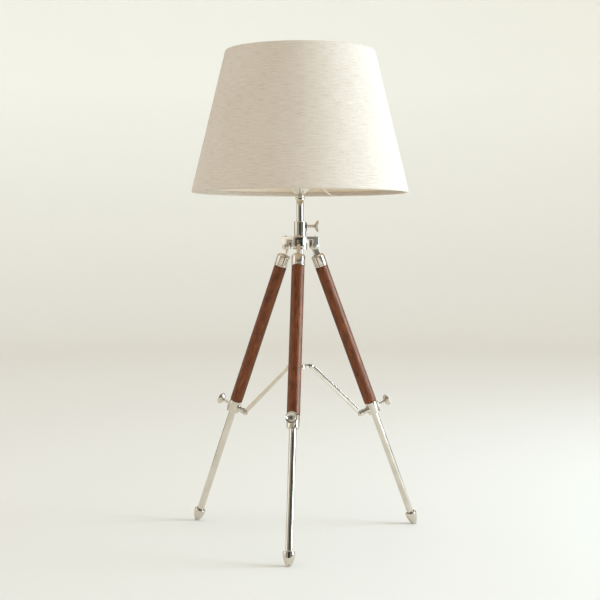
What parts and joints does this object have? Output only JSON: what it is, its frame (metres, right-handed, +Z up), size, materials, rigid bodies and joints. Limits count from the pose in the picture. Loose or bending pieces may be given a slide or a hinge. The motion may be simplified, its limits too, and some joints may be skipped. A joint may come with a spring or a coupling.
{
  "type": "tripod table lamp",
  "caption": "Table lamp with a tapered linen drum shade on a folding tripod of telescopic nickel legs wrapped in stitched brown leather, joined by a rising bar spreader.",
  "frame": {"origin": "middle of the whole lamp's footprint box, on the surface it stands on; the stem axis is 19 mm behind it (+Y)", "axes": "+Z up; -Y is the front, where one leg points; +X is the right-hand side seen from the front"},
  "size_m": [0.331, 0.3428, 0.682],
  "materials": {
    "polished_nickel": "polished nickel plate, warm",
    "leather": "brown hide, semi-gloss, stitched on the inner side",
    "linen": "natural linen with slubs",
    "lining": "matt off-white laminate",
    "white_enamel": "white enamelled wire",
    "black_plastic": "moulded, satin",
    "white_plastic": "moulded, satin",
    "porcelain": "glazed",
    "brass": "bare",
    "frosted_glass": "frosted, white"
  },
  "bodies": {
    "hub": {"hub_casting": "polished_nickel", "stem_sleeve": "polished_nickel", "leg_pin_front": "polished_nickel", "leg_pin_right": "polished_nickel", "leg_pin_left": "polished_nickel", "arm_screw_front": "polished_nickel", "arm_screw_right": "polished_nickel", "arm_screw_left": "polished_nickel"},
    "stem_screw": {"stem_thumb_screw": "polished_nickel"},
    "leg_front": {"ferrule_front": "polished_nickel", "leg_tube_front": "polished_nickel", "leather_front": "leather", "collar_front": "polished_nickel", "bar_pin_front": "polished_nickel"},
    "leg_right": {"ferrule_right": "polished_nickel", "leg_tube_right": "polished_nickel", "leather_right": "leather", "collar_right": "polished_nickel", "bar_pin_right": "polished_nickel"},
    "leg_left": {"ferrule_left": "polished_nickel", "leg_tube_left": "polished_nickel", "leather_left": "leather", "collar_left": "polished_nickel", "bar_pin_left": "polished_nickel"},
    "bar_front": {"spreader_bar_front": "polished_nickel", "bar_rivet_front": "polished_nickel"},
    "bar_right": {"spreader_bar_right": "polished_nickel", "bar_rivet_right": "polished_nickel"},
    "bar_left": {"spreader_bar_left": "polished_nickel", "bar_rivet_left": "polished_nickel"},
    "spreader": {"spreader_centre": "polished_nickel"},
    "lower_leg_front": {"lower_tube_front": "polished_nickel", "guide_bush_front": "black_plastic", "foot_front": "polished_nickel"},
    "lower_leg_right": {"lower_tube_right": "polished_nickel", "guide_bush_right": "black_plastic", "foot_right": "polished_nickel"},
    "lower_leg_left": {"lower_tube_left": "polished_nickel", "guide_bush_left": "black_plastic", "foot_left": "polished_nickel"},
    "leg_screw_front": {"thumb_screw_front": "polished_nickel"},
    "leg_screw_right": {"thumb_screw_right": "polished_nickel"},
    "leg_screw_left": {"thumb_screw_left": "polished_nickel"},
    "stem": {"stem_tube": "polished_nickel", "cord_bush": "black_plastic"},
    "head": {"coupling_ring": "polished_nickel", "holder_dome": "polished_nickel", "holder_skirt": "white_plastic", "holder_insulator": "porcelain", "holder_contact": "brass", "shade_frame": "white_enamel", "shade_top_wire": "white_enamel", "shade_lining": "lining", "shade_fabric": "linen"},
    "lower_ring": {"shade_ring_lower": "white_plastic"},
    "upper_ring": {"shade_ring_upper": "white_plastic"},
    "bulb": {"bulb_cap": "polished_nickel", "bulb_glass": "frosted_glass"}
  },
  "joints": [
    {"name": "leg_front_fold", "type": "hinge", "parent": "hub", "child": "leg_front", "pos_m": [0, -0.003, 0.41], "axis": [1, 0, 0], "range_deg": [0, 18]},
    {"name": "leg_right_fold", "type": "hinge", "parent": "hub", "child": "leg_right", "pos_m": [0.01905, 0.03, 0.41], "axis": [-0.5, 0.866, 0], "range_deg": [0, 18]},
    {"name": "leg_left_fold", "type": "hinge", "parent": "hub", "child": "leg_left", "pos_m": [-0.01905, 0.03, 0.41], "axis": [-0.5, -0.866, 0], "range_deg": [0, 18]},
    {"name": "bar_front_fold", "type": "hinge", "parent": "leg_front", "child": "bar_front", "pos_m": [0, -0.07793, 0.16848], "axis": [1, 0, 0], "range_deg": [0, 29.73]},
    {"name": "bar_right_fold", "type": "hinge", "parent": "leg_right", "child": "bar_right", "pos_m": [0.08394, 0.06746, 0.16848], "axis": [-0.5, 0.866, 0], "range_deg": [0, 29.73]},
    {"name": "bar_left_fold", "type": "hinge", "parent": "leg_left", "child": "bar_left", "pos_m": [-0.08394, 0.06746, 0.16848], "axis": [-0.5, -0.866, 0], "range_deg": [0, 29.73]},
    {"name": "spreader_slide", "type": "slide", "parent": "hub", "child": "spreader", "axis": [0, 0, 1], "range_m": [0, 0.02343]},
    {"name": "lower_leg_front_slide", "type": "slide", "parent": "leg_front", "child": "lower_leg_front", "axis": [0, -0.3746, -0.9272], "range_m": [-0.15, 0.03]},
    {"name": "lower_leg_right_slide", "type": "slide", "parent": "leg_right", "child": "lower_leg_right", "axis": [0.3244, 0.1873, -0.9272], "range_m": [-0.15, 0.03]},
    {"name": "lower_leg_left_slide", "type": "slide", "parent": "leg_left", "child": "lower_leg_left", "axis": [-0.3244, 0.1873, -0.9272], "range_m": [-0.15, 0.03]},
    {"name": "leg_screw_front_turn", "type": "hinge", "parent": "leg_front", "child": "leg_screw_front", "pos_m": [0, -0.0974, 0.17635], "axis": [0, -0.9272, 0.3746], "range_deg": [0, 360]},
    {"name": "leg_screw_right_turn", "type": "hinge", "parent": "leg_right", "child": "leg_screw_right", "pos_m": [0.10081, 0.0772, 0.17635], "axis": [0.803, 0.4636, 0.3746], "range_deg": [0, 360]},
    {"name": "leg_screw_left_turn", "type": "hinge", "parent": "leg_left", "child": "leg_screw_left", "pos_m": [-0.10081, 0.0772, 0.17635], "axis": [-0.803, 0.4636, 0.3746], "range_deg": [0, 360]},
    {"name": "stem_screw_turn", "type": "hinge", "parent": "hub", "child": "stem_screw", "pos_m": [0, 0.019, 0.438], "axis": [0.9962, 0.0872, 0], "range_deg": [0, 360]},
    {"name": "stem_slide", "type": "slide", "parent": "hub", "child": "stem", "axis": [0, 0, 1], "range_m": [-0.025, 0.045]},
    {"name": "head_swivel", "type": "hinge", "parent": "stem", "child": "head", "pos_m": [0, 0.019, 0.4828], "axis": [0, 0, 1], "range_deg": [-180, 180]},
    {"name": "lower_ring_turn", "type": "hinge", "parent": "head", "child": "lower_ring", "pos_m": [0, 0.019, 0.5082], "axis": [0, 0, 1], "range_deg": [0, 360]},
    {"name": "upper_ring_turn", "type": "hinge", "parent": "head", "child": "upper_ring", "pos_m": [0, 0.019, 0.5163], "axis": [0, 0, 1], "range_deg": [0, 360]},
    {"name": "bulb_turn", "type": "hinge", "parent": "head", "child": "bulb", "pos_m": [0, 0.019, 0.5101], "axis": [0, 0, 1], "range_deg": [0, 360]}
  ],
  "couplings": [
    {"joint": "leg_right_fold", "follows": "leg_front_fold", "ratio": 1},
    {"joint": "leg_left_fold", "follows": "leg_front_fold", "ratio": 1},
    {"joint": "bar_front_fold", "follows": "leg_front_fold", "ratio": 1.6507},
    {"joint": "bar_right_fold", "follows": "leg_front_fold", "ratio": 1.6507},
    {"joint": "bar_left_fold", "follows": "leg_front_fold", "ratio": 1.6507},
    {"joint": "spreader_slide", "follows": "leg_front_fold", "m_per_rad": 0.074508}
  ]
}
